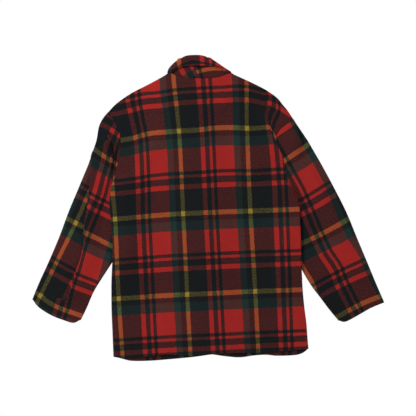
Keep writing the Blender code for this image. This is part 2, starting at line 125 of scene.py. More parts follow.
HEM_BACK = (
    (-274.6, -387.5), (-252, -392), (-184, -392), (-132, -388.5), (-71, -396.5), (-8, -394),
    (52, -394), (124, -398), (200, -395.5), (249.8, -393.5),
)
HEM_FRONT_LEFT = (
    (-274.6, -387.5), (-250, -395), (-230, -401), (-180, -403.5), (-133, -402.5), (-71, -400), (-30, -396.5),
    (14, -391),
)
HEM_FRONT_RIGHT = (
    (-30, -391), (-8, -394.5), (29, -402), (66, -407), (104, -404), (137, -404), (163, -408), (218, -408.5),
    (237, -403), (249.8, -393.5),
)
OUTER_LEFT = (
    (-266, 260), (-276.5, 245), (-282.7, 229.5), (-289.8, 198), (-302.3, 166.5), (-315, 134.5),
    (-330, 103), (-345, 71.5), (-375.5, 8), (-403, -55.5), (-433.5, -118.5), (-466.5, -182), (-485, -221.5),
)
OUTER_RIGHT = (
    (247, 217.5), (257, 200.5), (277, 167), (294, 134), (311, 100.7), (342.5, 34),
    (371.5, -32), (395, -98.5), (418.7, -164.5), (442.2, -230.5), (460.5, -279.5),
)
INNER_LEFT = (
    (-259, 66), (-258, 44), (-250, 8), (-244, -30), (-247, -80),
    (-261, -122), (-286, -159), (-319, -206), (-343.3, -254), (-359.5, -283),
)
INNER_RIGHT = (
    (227.5, 48), (229, 40), (229, 12), (224, -20), (221, -60), (225, -115),
    (237, -160), (267, -221), (289.5, -254.5), (312, -288), (336.5, -321),
)
CUFF_LEFT = (
    (-485, -221.5), (-474, -239), (-455, -255), (-432, -269.5),
    (-405, -281.5), (-378, -290.5), (-359.5, -283),
)
CUFF_RIGHT = ((460.5, -279.5), (426, -291.5), (393, -308), (363, -322.5), (349, -326), (336.5, -321))
FOLD_LINE_LEFT = (
    (-305, 168), (-307, 150), (-309, 118), (-311, 97), (-316, 67), (-322.5, 31),
    (-329, -6), (-336, -44), (-343, -98), (-360, -147), (-378, -190), (-395, -229),
)
FOLD_LINE_RIGHT = ((243, 228), (246, 214), (250, 202), (256, 181), (265, 156), (275, 126), (286, 95))

# Where the body's side lies on the sleeve: y of the underarm, full, full, and down on the surface again,
# and how far in the sleeve's edge reaches below it
LAP_LEFT = {"y": (112, 80, -150, -235), "reach": 22.0}
LAP_RIGHT = {"y": (68, 38, -200, -280), "reach": 26.0}

# Soft ridges and troughs of the laid cloth: place, half length, half width, direction in degrees, height
RELIEF_COLUMNS = ("x", "y", "long", "wide", "turn", "height")
BACK_RELIEF = (
    (-150, 150, 130, 34, 62, 2.4),
    (120, 120, 120, 30, 112, 2.0),
    (-205, -60, 140, 26, 92, 2.2),
    (170, -90, 150, 30, 86, 2.0),
    (-120, -330, 80, 36, 84, 1.8),
    (60, -340, 90, 34, 96, 1.6),
    (-20, 300, 60, 24, 4, 1.4),
    (196, 30, 60, 20, 66, 2.2),
)
SLEEVE_RELIEF_LEFT = (
    (-262, 190, 60, 15, 80, 3.4),
    (-300, 20, 90, 18, 66, 2.6),
    (-385, -120, 110, 22, 64, 2.4),
    (-395, -215, 50, 24, 60, 2.4),
)
SLEEVE_RELIEF_RIGHT = (
    (240, 150, 70, 17, 116, 4.6),
    (300, 40, 100, 20, 114, 3.0),
    (330, -90, 100, 24, 112, 2.6),
    (390, -205, 70, 26, 112, 2.4),
)

# Collar rings, left and right at the silhouette, then the middle of the back and the ends at the front
RINGS = {
    "seam": {
        "left": (-81.4, 367.6), "right": (75.0, 359.6), "back": 349.4, "power": 3.5,
        "front_left": ((-82, 338), (-62, 296), (-6, 275.8)),
        "front_right": ((75, 334), (54, 294), (-2, 275.8)),
    },
    "top": {
        "left": (-54.0, 398.0), "right": (25.0, 396.0), "back": 406.5, "power": 3.2, "drop": 0.69,
        "front_left": ((-48, 362), (-37, 325), (-6, 300)),
        "front_right": ((24, 358), (21, 322), (-2, 300)),
    },
    "edge": {
        "left": (-88.0, 368.0), "right": (80.6, 360.0), "back": 382.5, "power": 4,
        "front_left": ((-90, 330), (-90, 285), (-72, 236)),
        "front_right": ((84, 324), (84, 282), (64, 236)),
    },
}


BACK_WARP_LINES = {
    -184.0: (
        (-391, -251.7), (-234, -254.2), (-18, -251.5), (68, -255), (190, -250), (256, -260), (300, -268),
    ),
    -122.6: ((-391, -190.3), (-18, -189.6), (68, -186), (191, -185), (250, -194), (300, -202)),
    0.0: ((-395, -68), (-219, -68.3), (-11, -67.6), (210, -67.4), (354, -74.7)),
    184.0: ((-399, 115.6), (-224, 115.4), (1, 113.6), (209, 116.4), (333, 121.5)),
    245.4: ((-399, 177), (63, 182.6), (160, 180), (243, 171), (272, 179), (297, 183.8)),
}
BACK_WEFT_LINES = {
    -435.8: ((-265, -232), (-73, -230), (237, -232.8)),
    -217.9: ((-262, -17.4), (-75, -12.3), (241, -16.7)),
    0.0: ((-225, 193.8), (-189, 198.6), (-156, 206.9), (-108, 209.8), (-67, 210.4),
          (-17, 210.4), (27, 213.5), (79, 212.1), (126, 207.3), (173, 208.8)),
    70.5: ((-249, 264), (-194, 273.5), (-157, 280), (-110, 281), (-69, 284.8),
           (-5, 285.8), (55, 285.9), (122, 284.5), (171, 270.6)),
}
FRONT_YELLOW_X = 91.0

CAP_FOLD_LINE = (
    (174, 300), (171, 270), (172, 243), (173.4, 226), (177.8, 211), (183, 194), (189, 174.5), (195.4, 153),
)
CAP_STEP = 4.5
CAP_STEP_WIDE = 36.0
CAP_WARP_LINES = {
    244.8: ((240.6, 169), (253, 170.6), (273.2, 180), (296.8, 183.8)),
    266.8: ((218.3, 180.2), (233.5, 187.2), (245.6, 193), (255.5, 200.8), (262.7, 201.1)),
    279.9: ((197.3, 186.3), (210.5, 191.2), (228.7, 199.3), (244.8, 208.5)),
}
CAP_WEFT_LINES = {
    0.0: ((175.5, 208.2), (188.7, 183.7), (196, 170)),
    70.5: ((160, 275), (180, 273.2), (201, 262.7), (221, 248.2), (233, 238.3)),
}

RIGHT_WARP_LINES = {
    0.0: ((97, 152), (264, 142), (315, 143), (358, 136), (439, 140)),
    61.4: ((39, 220), (97, 217.6), (256, 199.7), (314, 202.3), (350, 196.7), (425, 192.1)),
}
RIGHT_WEFT_LINES = {
    436.0: ((154, 429.6), (195, 429.9), (247, 433), (285, 439.9)),
    218.0: ((173, 209.7), (207, 212.9), (268, 215.5), (307, 215.4)),
    0.0: ((239, -6.8), (285, -10.1), (330, -13.4)),
}
LEFT_YELLOW = (
    (-58, -310), (84, -310.1), (110, -310.1), (183, -309.4), (295, -313.6), (405, -317.5),
)
LEFT_SHARE = (
    (-58, 72), (-20, 66), (6, 61), (35, 57), (84, 48.3), (110, 47),
    (183, 45), (242, 36.5), (296, 26), (335, 22), (392, 11), (440, 5),
)
LEFT_FOLD_FROM = 6.0
LEFT_WEFT_LINES = {
    436.0: ((-333, 398), (-265, 407.1), (-193.6, 402.2)),
    218.0: ((-336, 181.3), (-281, 183.9), (-198, 188.7)),
    0.0: ((-341.5, -29.4), (-307, -22.8), (-273.5, -16.2)),
}
LEFT_FOLD_SHIFT = 11.0


def curve(points, tension=0.5):
    """A smooth run through the points, as lengths along it from 0 to 1 and the places."""
    p = np.array(points, float)
    ends = np.vstack([2 * p[0] - p[1], p, 2 * p[-1] - p[-2]])
    places = [p[0]]
    for k in range(1, len(ends) - 2):
        a, b, c, d = ends[k - 1 : k + 3]
        span = np.linalg.norm(c - b)
        m0 = tension * (c - a) * span / max(1e-6, (np.linalg.norm(b - a) + span) / 2)
        m1 = tension * (d - b) * span / max(1e-6, (np.linalg.norm(d - c) + span) / 2)
        for t in np.linspace(0, 1, 9)[1:]:
            places.append(
                (2 * t**3 - 3 * t**2 + 1) * b + (t**3 - 2 * t**2 + t) * m0
                + (3 * t**2 - 2 * t**3) * c + (t**3 - t**2) * m1
            )
    places = np.array(places)
    steps = np.concatenate([[0], np.cumsum(np.linalg.norm(np.diff(places, axis=0), axis=1))])
    return steps / steps[-1], places


def on(run, t):
    return np.array([np.interp(t, run[0], run[1][:, k]) for k in range(run[1].shape[1])])


def soft(t):
    t = min(1.0, max(0.0, t))
    return t * t * (3 - 2 * t)


def coons(low, high, first, last, u, v):
    """A patch between four runs: low and high along u, first and last along v."""
    corner = (1 - u) * (1 - v) * low(0) + u * (1 - v) * low(1) + (1 - u) * v * high(0) + u * v * high(1)
    return (1 - v) * low(u) + v * high(u) + (1 - u) * first(v) + u * last(v) - corner


def relief(table, x, y):
    total = 0.0
    for values in table:
        row = dict(zip(RELIEF_COLUMNS, values))
        turn = math.radians(row["turn"])
        dx = x - row["x"]
        dy = y - row["y"]
        along = (dx * math.cos(turn) + dy * math.sin(turn)) / row["long"]
        across = (dy * math.cos(turn) - dx * math.sin(turn)) / row["wide"]
        total += row["height"] * math.exp(-(along**2) * 1.6 - across**2 * 1.6)
    return total


def chart(lines):
    """The lines of a check, ready to be read: the value of each and its smooth run."""
    return [(value, curve(points)[1]) for value, points in sorted(lines.items())]


def reading(table, along, across):
    """The check's value at a place: each line's position there, then straight between the lines."""
    at = np.array([np.interp(along, places[:, 0], places[:, 1]) for _, places in table])
    values = np.array([value for value, _ in table])
    order = np.argsort(at)
    at = at[order]
    values = values[order]
    rising = 1 if values[-1] > values[0] else -1
    if across <= at[0]:
        return values[0] - rising * (at[0] - across)
    if across >= at[-1]:
        return values[-1] + rising * (across - at[-1])
    return float(np.interp(across, at, values))


def across_back(row, part, radius):
    """A collar ring's place across the back, from -1 at its left to 1 at its right."""
    (lx, ly), (rx, ry) = row["left"], row["right"]
    base = ly + (ry - ly) * (part + 1) / 2
    y = base + (row["back"] - (ly + ry) / 2) * (1 - row.get("drop", 1.0) * abs(part) ** row["power"])
    return (lx + rx) / 2 + ((rx - lx) / 2 - radius) * part, y


def neck_places():
    """The back's neck edge: it follows the collar's seam, a little below it."""
    places = [across_back(RINGS["seam"], part, (STAND_HIGH - STAND_LOW) / 2) for part in NECK_SHARES]
    (lx, ly), (rx, ry) = RINGS["seam"]["left"], RINGS["seam"]["right"]
    places = [(lx, ly)] + places + [(rx, ry)]
    return [NECK_SIDES[0]] + [(x, y - NECK_GAP) for x, y in places] + [NECK_SIDES[1]]


side_left = curve(SIDE_LEFT)
side_right = curve(SIDE_RIGHT)
armhole_left = curve(ARMHOLE_LEFT)
armhole_right = curve(ARMHOLE_RIGHT)
shoulder_left = curve(SHOULDER_LEFT)
shoulder_right = curve(SHOULDER_RIGHT)
neck_back = curve(neck_places())
hem_back = curve(HEM_BACK)
hem_front_left = curve(HEM_FRONT_LEFT)
hem_front_right = curve(HEM_FRONT_RIGHT)
back_warp = chart(BACK_WARP_LINES)
back_weft = chart(BACK_WEFT_LINES)
cap_warp = chart(CAP_WARP_LINES)
cap_weft = chart(CAP_WEFT_LINES)
cap_fold = curve(CAP_FOLD_LINE)[1][::-1]
right_warp = chart(RIGHT_WARP_LINES)
right_weft = chart(RIGHT_WEFT_LINES)
left_weft = chart(LEFT_WEFT_LINES)
left_yellow = curve(LEFT_YELLOW)[1]
left_share = curve(LEFT_SHARE)[1]


def back_check(x, y):
    return reading(back_warp, y, x), reading(back_weft, x, y)


def cap_check(x, y):
    return reading(cap_warp, y, x), reading(cap_weft, x, y)


def in_cap(x, y):
    return y > cap_fold[0, 1] and x > np.interp(y, cap_fold[:, 1], cap_fold[:, 0])


def front_check(x, y):
    return FRONT_YELLOW_X - x, reading(back_weft, x, y)


TILT = math.radians(27)


def right_check(x, y, _):
    p = x * math.sin(TILT) - y * math.cos(TILT)
    q = x * math.cos(TILT) + y * math.sin(TILT)
    return reading(right_warp, p, q), -reading(right_weft, q, p)


def left_check(x, y, past):
    """past is how much of the folded cloth lies before this place: 0 left of the fold, 1 right of it."""
    p = -x * math.sin(TILT) - y * math.cos(TILT)
    q = x * math.cos(TILT) - y * math.sin(TILT)
    share = float(np.interp(p, left_share[:, 0], left_share[:, 1]))
    s = q - float(np.interp(p, left_yellow[:, 0], left_yellow[:, 1])) + share * past
    t = -reading(left_weft, q, p) + LEFT_FOLD_SHIFT * past * min(1.0, share / 40)
    return s, t


def lap_lift(x, y, side, lap, sign):
    """How high the body's side lies where the sleeve's edge is tucked below it."""
    top, full, low, down = lap["y"]
    along = soft((top - y) / (top - full)) * soft((y - down) / (low - down))
    if along <= 0:
        return 0.0
    places = side[1]
    edge = np.interp(y, places[:, 1], places[:, 0])
    inward = sign * (edge - x)
    return (2 * CLOTH + SLIT + 0.5) * along * soft(1 - (inward - lap["reach"] - 5) / 60)


def lap_lifts(x, y):
    return lap_lift(x, y, side_left, LAP_LEFT, -1) + lap_lift(x, y, side_right, LAP_RIGHT, 1)


# Where the collar lies, and where the back rises over its stand
COLLAR_MIDDLE = -4.0
COLLAR_HALF = 94.0
COLLAR_END = 232.0
NECK_MOUND = {"y": 364.0, "wide": 88.0, "long": 92.0}


def body_lift(x, y):
    placket = PLACKET_LIFT * soft(1 - (abs(x - BUTTON_X) - PLACKET_HALF) / 75)
    out = max(0.0, abs(x - COLLAR_MIDDLE) - COLLAR_HALF, COLLAR_END - y)
    collar_lift = COLLAR_LIFT * soft(1 - (out - 4) / 70)
    return lap_lifts(x, y) + max(placket, collar_lift) + 0.15 * min(placket, collar_lift)


def front_height(x, y, right):
    height = LOW + body_lift(x, y)
    if right:
        height += LAYER * soft(1 - (x - LEFT_FRONT_EDGE - 4) / 60)
    return height


def cap_step(x, y):
    """The cloth left of the fold beside the right armhole lies a little over the cloth right of it."""
    inward = np.interp(y, cap_fold[:, 1], cap_fold[:, 0]) - x
    near = soft((inward + 1) / 2.5) * soft(1 - inward / CAP_STEP_WIDE)
    return CAP_STEP * near * soft((y - 152) / 24) * soft((292 - y) / 40)


def back_height(x, y):
    height = HIGH + body_lift(x, y) + 0.5 * lap_lifts(x, y)
    lap = LAYER * soft(1 - (x - LEFT_FRONT_EDGE - 4) / 60) * soft(1 - (RIGHT_FRONT_EDGE - 4 - x) / 70)
    away = math.hypot((x - COLLAR_MIDDLE) / NECK_MOUND["wide"], (y - NECK_MOUND["y"]) / NECK_MOUND["long"])
    rise = NECK_RISE * soft((1.6 - away) / 0.5)
    height += max(lap, rise) + 0.2 * min(lap, rise) + relief(BACK_RELIEF, x, y)
    return height + cap_step(x, y)


# An edge turns towards its seam as a quarter circle: how far in from the edge, and how far turned
TURN_STEPS = [
    (ROUND * (1 - math.cos(math.radians(angle))), 1 - math.sin(math.radians(angle)))
    for angle in (0, 22, 45, 67, 90)
]

# Rows run from the hem to the top of the shoulder; the underarm is at row value UNDERARM
UNDERARM = 0.66
ROWS = [0, 0.004, 0.012] + [UNDERARM * k / 58 for k in range(2, 57)]
ROWS += [UNDERARM - 0.012, UNDERARM, UNDERARM + 0.015]
ROWS += [UNDERARM + (1 - UNDERARM) * k / 30 for k in range(2, 30)]
ROWS = [(v, 0.0) for v in ROWS] + [(1 - inset / 620, turned) for inset, turned in TURN_STEPS[::-1]]


def side_run(side, armhole):
    def run(v):
        if v <= UNDERARM:
            return on(side, v / UNDERARM)
        return on(armhole, (v - UNDERARM) / (1 - UNDERARM))
    return run


left_run = side_run(side_left, armhole_left)
right_run = side_run(side_right, armhole_right)


def side_curl(v):
    return soft((UNDERARM + 0.03 - v) / 0.03)


def panel(columns, low, high, first, last, height, other, curl_first, curl_last, shoulder):
    """A panel's grid: columns are (u, turned); edges turn half way to the panel that it is sewn to."""
    rows = []
    for v, top in ROWS:
        row = []
        for u, turned in columns:
            x, y = coons(low, high, first, last, u, v)
            z = height(x, y)
            if (u < 0.5 and not curl_first) or (u > 0.5 and not curl_last):
                turned = 0.0
            turned = max(turned * side_curl(v), shoulder(u) * top)
            if turned:
                seam = (z + other(x, y)) / 2
                seam += EDGE_GAP / 2 if z > seam else -EDGE_GAP / 2
                z += (seam - z) * turned
            row.append((x, y, z))
        rows.append(row)
    return rows


def edge_columns(width):
    return [(inset / width, turned) for inset, turned in TURN_STEPS]


# Sleeve sections
SLEEVE_ROWS = [0, 0.006, 0.014] + [k / 84 for k in range(2, 83)] + [0.985, 0.993, 1]
ARC = (90, 67, 45, 22, 0, -22, -45, -67, -90)
UPPER_PARTS = [k / 22 for k in range(1, 22)]
BELOW_COUNT = 14
FOLD_ARC = 5.4

# A sleeve's fold: y at which it starts, grows, ends and fades, how far it turns in degrees, its level part,
# the share of the width at which it lies outside that stretch, and how far the cloth beyond it slopes down
FOLD_LEFT = {
    "start": 175, "grow": 55, "end": -245, "fade": 60,
    "turn": 172, "straight": 12.0, "near": 0.2, "slope": 62,
}
FOLD_RIGHT = {
    "start": 172, "grow": 36, "end": 78, "fade": 50,
    "turn": 150, "straight": 3.0, "near": 0.12, "slope": 45,
}


def fold_starts(x, y):
    """Whether a place on the left sleeve's outer edge lies beyond the start of its fold."""
    return -x * math.sin(TILT) - y * math.cos(TILT) > LEFT_FOLD_FROM


def fold_steps(turn, level_part):
    """The path of a Z-fold from its foot: turn up, go back along a level part, turn level again."""
    places = [(0.0, 0.0)]
    heading = 0.0
    x = 0.0
    z = 0.0
    radius = FOLD_ARC / turn
    for sign, parts in ((1, 6), (0, 3), (-1, 6)):
        for _ in range(parts):
            if sign:
                half = turn / parts / 2
                step = 2 * radius * math.sin(half)
                heading += sign * half
                x += step * math.cos(heading)
                z += step * math.sin(heading)
                heading += sign * half
            else:
                x += level_part / parts * math.cos(heading)
                z += level_part / parts * math.sin(heading)
            places.append((x, z))
    return places


def crossing(place, line):
    """How far along a row, as a fraction, a line passes."""
    fractions = np.linspace(0, 1, 61)
    across = np.array([place(fraction) for fraction in fractions])
    nearest = np.linalg.norm(across[:, None] - line[1][None], axis=2).min(axis=1)
    return fractions[nearest.argmin()]


def sleeve(armhole, outer, inner, cuff, fold_line, fold, table, sign, check):
    armhole_run = curve(np.array(armhole) + (sign * ARMHOLE_GAP, 0))
    outer_run = curve([armhole_run[1][-1], *outer])
    inner_run = curve([armhole_run[1][0], *inner])
    cuff_run = curve(cuff)
    line = curve(fold_line)
    rows = []
    folded = []
    unfolded = []
    below = []
    for v in SLEEVE_ROWS:
        def place(u):
            return coons(
                lambda t: on(armhole_run, 1 - t), lambda t: on(cuff_run, t),
                lambda t: on(outer_run, t), lambda t: on(inner_run, t), u, v,
            )
        outer_place = place(0)
        width = np.linalg.norm(place(1) - outer_place)
        y = place(0.5)[1]
        amount = soft((fold["start"] - y) / fold["grow"]) * soft((y - fold["end"]) / fold["fade"])
        turn = max(0.12, math.radians(fold["turn"]) * amount)
        steps = fold_steps(turn, 1.5 + fold["straight"] * soft((math.degrees(turn) - 110) / 50))
        top = steps[-1][1]
        edge_fraction = fold["near"] + (crossing(place, line) - fold["near"]) * soft(amount * 3)
        left_most = min(step[0] for step in steps[6:])
        foot = edge_fraction * width - left_most
        foot = max(foot, ROUND + 4)
        section = []
        for angle in ARC[:0:-1]:
            turn_angle = math.radians(angle)
            across = ROUND * (1 - math.cos(turn_angle))
            section.append((across, (LOW + HIGH) / 2 + ROUND * math.sin(turn_angle), 0))
        for part in (0, 0.25, 0.5, 0.75):
            section.append((ROUND + (foot - ROUND) * part, HIGH, 0))
        for number, (dx, dz) in enumerate(steps):
            section.append((foot + dx, HIGH + dz, number / (len(steps) - 1)))
        last = foot + steps[-1][0]
        for part in UPPER_PARTS:
            at = last + (width - ROUND - last) * part
            section.append((at, HIGH + top * soft(1 - (at - last) / fold["slope"]), 1))
        for angle in ARC:
            turn_angle = math.radians(angle)
            across = width - ROUND * (1 - math.cos(turn_angle))
            section.append((across, (LOW + HIGH) / 2 + ROUND * math.sin(turn_angle), 1))
        for part in range(BELOW_COUNT - 1, 0, -1):
            section.append((width * part / BELOW_COUNT, LOW, 1))
        row = []
        edge_s, _ = check(*outer_place, 0)
        for across, z, past in section:
            x, y = place(across / width)
            if z >= HIGH - 0.01:
                inside = soft((across - ROUND) / 9) * soft((width - ROUND - across) / 30)
                z += relief(table, x, y) * min(1.0, v / 0.06) * inside
            row.append((x, y, z))
        rows.append(row)
        folded.append([check(x, y, past) for (x, y, _), (_, _, past) in zip(row, section)])
        unfolded.append([check(x, y, 1) for x, y, _ in row])
        flat = [check(x, y, 0) for x, y, _ in row]
        below.append([(2 * edge_s - s, t) for s, t in flat])
    outer_at = len(ARC) // 2
    inner_at = len(section) - BELOW_COUNT - outer_at

    def pick(j, i):
        if not outer_at <= i < inner_at:
            return below
        return folded if fold_starts(*rows[j][outer_at][:2]) else unfolded
    return rows, pick


# Collar sections
STAND_LEVELS = [k / 10 for k in range(11)]
FALL_LEVELS = [k / 8 for k in range(1, 9)]
TURNS = (-68, -45, -22, 0, 22, 45, 68, 90)
FRONT_PARTS = (1, 0.97, 0.92, 0.86, 0.77, 0.68, 0.57, 0.46, 0.34, 0.22, 0.12, 0)
BACK_PARTS = [-1, -0.94] + [-0.86 + 1.72 * k / 34 for k in range(35)] + [0.94, 1]
CORNER = (-68, -45, -22, 0, 22, 45, 68)


def front_runs(row, radius):
    (lx, ly), (rx, ry) = row["left"], row["right"]
    starts = {"front_left": (lx + radius, ly), "front_right": (rx - radius, ry)}
    return {key: curve((starts[key],) + row[key]) for key in starts}


def ring(row, low, high):
    """A flattened ring: front end, round the left, across the back, round the right, front end."""
    middle = (low + high) / 2
    radius = (high - low) / 2
    places = []
    (lx, ly), (rx, ry) = row["left"], row["right"]
    fronts = front_runs(row, radius)
    for part in FRONT_PARTS[:-1]:
        x, y = on(fronts["front_left"], part)
        places.append((x, y, low))
    places.append((lx + radius, ly, low))
    for angle in CORNER:
        turn = math.radians(angle)
        y = ly + (across_back(row, -1, radius)[1] - ly) * max(0.0, math.sin(turn))
        places.append((lx + radius * (1 - math.cos(turn)), y, middle + radius * math.sin(turn)))
    for part in BACK_PARTS:
        places.append((*across_back(row, part, radius), high))
    for angle in CORNER[::-1]:
        turn = math.radians(angle)
        y = ry + (across_back(row, 1, radius)[1] - ry) * max(0.0, math.sin(turn))
        places.append((rx - radius * (1 - math.cos(turn)), y, middle + radius * math.sin(turn)))
    places.append((rx - radius, ry, low))
    for part in FRONT_PARTS[-2::-1]:
        x, y = on(fronts["front_right"], part)
        places.append((x, y, low))
    return np.array(places)


def grid_normals(grid):
    along = np.gradient(grid, axis=1)
    across = np.gradient(grid, axis=0)
    normal = np.cross(along, across)
    return normal / np.linalg.norm(normal, axis=2, keepdims=True)


def collar():
    seam = ring(RINGS["seam"], STAND_LOW, STAND_HIGH)
    top = ring(RINGS["top"], STAND_LOW, STAND_HIGH)
    edge = ring(RINGS["edge"], FALL_LOW, FALL_HIGH)
    middle_x = (seam[:, 0].min() + seam[:, 0].max()) / 2
    stand = []
    for level in STAND_LEVELS:
        loop = seam + (top - seam) * level
        side = np.sign(loop[:, 0] - middle_x) * np.abs((seam[:, 0] - middle_x) / 84) ** 6
        loop[:, 0] += 4.0 * math.sin(math.pi * level) * side
        stand.append(loop)
    stand = np.array(stand)
    outward = grid_normals(stand)[-1] * (1, 0, 1)
    outward /= np.linalg.norm(outward, axis=1, keepdims=True)
    up = stand[-1] - stand[-2]
    up -= outward * (up * outward).sum(axis=1, keepdims=True)
    up /= np.linalg.norm(up, axis=1, keepdims=True)
    levels = list(stand)
    for angle in TURNS:
        turn = math.radians(angle)
        rise = up * FOLD_RADIUS * math.cos(turn)
        levels.append(stand[-1] + rise + outward * FOLD_RADIUS * (1 + math.sin(turn)))
    start = levels[-1]
    for level in FALL_LEVELS:
        loop = start + (edge - start) * level
        side = np.sign(loop[:, 0] - middle_x) * np.abs((edge[:, 0] - middle_x) / 86) ** 6
        loop[:, 0] += np.where(side < 0, 7.5, 0.5) * math.sin(math.pi * level) * side
        levels.append(loop)
    return np.array(levels)


def halves(grid):
    """The grid cut in two at its middle column, a seam apart."""
    half = grid.shape[1] // 2
    middle = (grid[:, half - 1] + grid[:, half]) / 2
    step = grid[:, half] - grid[:, half - 1]
    step *= SEAM / 2 / np.linalg.norm(step, axis=1, keepdims=True)
    left = np.concatenate([grid[:, :half], (middle - step)[:, None]], axis=1)
    right = np.concatenate([(middle + step)[:, None], grid[:, half:]], axis=1)
    return left, right


# The collar's check: the fall is on the straight grain
FALL_YELLOW_X = -57.0
FALL_RISE = 97.0
FALL_CURL = 6.0


def top_collar_check(grid):
    """Straight across the back and lengths along the edge past its corners; lengths up from the edge."""
    edge = grid[-1]
    steps = np.linalg.norm(np.diff(edge, axis=0), axis=1)
    along = np.concatenate([[0], np.cumsum(steps)])
    first = len(FRONT_PARTS) + len(CORNER)
    last = first + len(BACK_PARTS) - 1
    up = np.linalg.norm(np.diff(grid, axis=0), axis=2)[::-1]
    up = np.vstack([np.zeros(len(edge)), np.cumsum(up, axis=0)])[::-1]
    curl = FALL_RISE + FALL_CURL * np.minimum(1.0, ((edge[:, 0] + 2) / 60) ** 2)
    rows = []
    for j, row in enumerate(grid):
        values = []
        for i, (x, _, _) in enumerate(row):
            nearest = min(max(i, first), last)
            s = row[nearest, 0] - FALL_YELLOW_X + along[i] - along[nearest]
            values.append((s, curl[i] + up[j, i]))
        rows.append(values)
    return rows


# The under collar is cut in two on the bias: its left half lies straight, its right half is curved
UNDER_LEFT = {"s": (146.2, -37.9, 365.6), "t": (70.5, -52.4, 373.8), "turn": math.radians(27)}
UNDER_RIGHT = {"centre": (39.1, 203.5), "radius": 170.0, "start": 148.3}
UNDER_LEAN = 6.6


def under_left_check(x, y):
    turn = UNDER_LEFT["turn"]
    s_value, s_x, s_y = UNDER_LEFT["s"]
    t_value, t_x, t_y = UNDER_LEFT["t"]
    s = s_value + (x - s_x) * math.sin(turn) - (y - s_y) * math.cos(turn)
    t = t_value + (x - t_x) * math.cos(turn) + (y - t_y) * math.sin(turn)
    return s, t


def under_right_check(x, y):
    dx = x - UNDER_RIGHT["centre"][0]
    dy = y - UNDER_RIGHT["centre"][1]
    radius = UNDER_RIGHT["radius"]
    return radius - math.hypot(dx, dy), UNDER_RIGHT["start"] + radius * math.atan2(dx, dy)


def lean(grid):
    """The under collar with its middle seam leaning to the left towards the fold."""
    middle_x = (RINGS["seam"]["left"][0] + RINGS["seam"]["right"][0]) / 2
    up = np.clip((grid[:, :, 1] - RINGS["seam"]["back"]) / 32, 0, 1)
    leant = grid.copy()
    leant[:, :, 0] -= UNDER_LEAN * up * np.exp(-(((grid[:, :, 0] - middle_x) / 28) ** 2))
    return leant


def node(tree, kind, **inputs):
    made = tree.nodes.new(kind)
    for name, value in inputs.items():
        made.inputs[name.replace("_", " ")].default_value = value
    return made


def math_node(tree, operation, first, second=None, third=None):
    made = tree.nodes.new("ShaderNodeMath")
    made.operation = operation
    for number, value in enumerate((first, second, third)):
        if value is None:
            continue
        if isinstance(value, (int, float)):
            made.inputs[number].default_value = value
        else:
            tree.links.new(value, made.inputs[number])
    return made.outputs[0]


def stripes(tree, value, repeat, table):
    """The colour of the yarn at a length across the stripes."""
    part = math_node(tree, "FRACT", math_node(tree, "DIVIDE", value, repeat))
    ramp = tree.nodes.new("ShaderNodeValToRGB")
    ramp.color_ramp.interpolation = "CONSTANT"
    elements = ramp.color_ramp.elements
    while len(elements) > 1:
        elements.remove(elements[-1])
    for number, (start, yarn) in enumerate(table):
        stop = elements[0] if number == 0 else elements.new(start / repeat)
        stop.position = start / repeat
        stop.color = (*YARN[yarn], 1)
    tree.links.new(part, ramp.inputs[0])
    return ramp.outputs[0]


def around(tree, noise, strength, base):
    """A base value with noise of mean 0.5 added to it."""
    return math_node(tree, "MULTIPLY_ADD", math_node(tree, "SUBTRACT", noise, 0.5), strength, base)


def new_material(name):
    slot = bpy.data.materials.new(name)
    slot.use_nodes = True
    return slot, slot.node_tree


YARN_WANDER = 5.0
WARP_SHARE = (0.06, 0.94)


